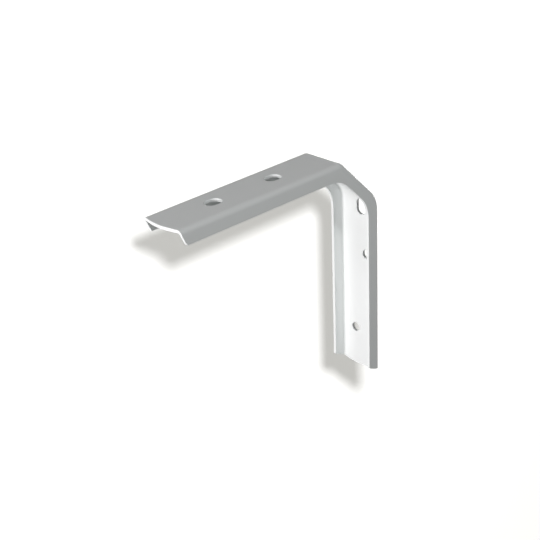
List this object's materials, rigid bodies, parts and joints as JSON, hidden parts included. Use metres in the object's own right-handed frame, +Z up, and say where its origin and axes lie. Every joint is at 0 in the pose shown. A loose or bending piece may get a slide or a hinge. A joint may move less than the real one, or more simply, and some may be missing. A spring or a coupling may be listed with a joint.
{
  "type": "shelf bracket",
  "caption": "One-piece pressed steel shelf bracket of channel section, with a slanting corner, arc-shaped ends and slotted and round screw holes.",
  "frame": {"origin": "centre line of the flat face that bears on the wall, 90 mm below the shelf", "axes": "+X away from the wall along the shelf arm, +Y across the bracket, +Z up"},
  "size_m": [0.1506, 0.029, 0.143],
  "materials": {
    "paint": "semi-gloss"
  },
  "bodies": {
    "root": {"bracket": "paint"}
  },
  "joints": []
}
